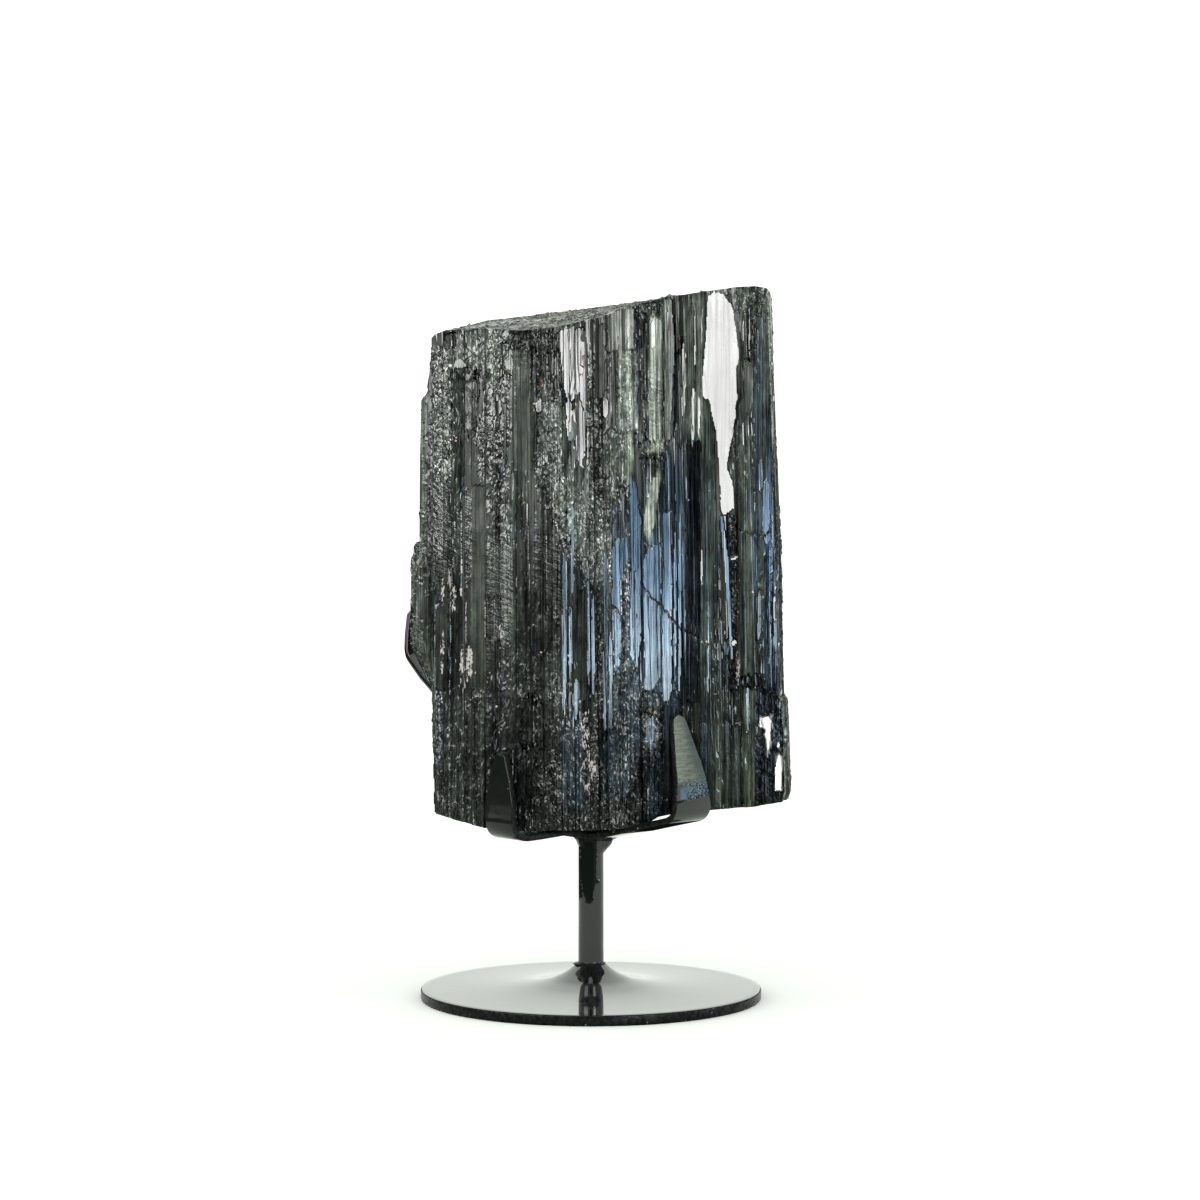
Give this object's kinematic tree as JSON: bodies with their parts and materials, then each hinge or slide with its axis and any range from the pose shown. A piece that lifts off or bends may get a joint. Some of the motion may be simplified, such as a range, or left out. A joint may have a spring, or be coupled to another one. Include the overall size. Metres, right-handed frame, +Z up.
{
  "type": "black tourmaline crystal on a display stand",
  "caption": "Columnar black tourmaline crystal with a striated, broken surface, held upright in the strap prongs of a gloss-black welded steel stand with a round foot.",
  "frame": {"origin": "centre of the flat underside of the round foot, on the stem's axis", "axes": "+Z up along the stem; the crystal's broad front face looks toward -Y; +X to the right as seen from the front"},
  "size_m": [0.1179, 0.1177, 0.2106],
  "materials": {
    "stand": "gloss black lacquer",
    "tourmaline": "vitreous, opaque black, striated"
  },
  "bodies": {
    "root": {"base_disc": "stand", "stem": "stand", "cradle_bar_lower": "stand", "cradle_bar_upper": "stand", "tourmaline": "tourmaline"}
  },
  "joints": []
}
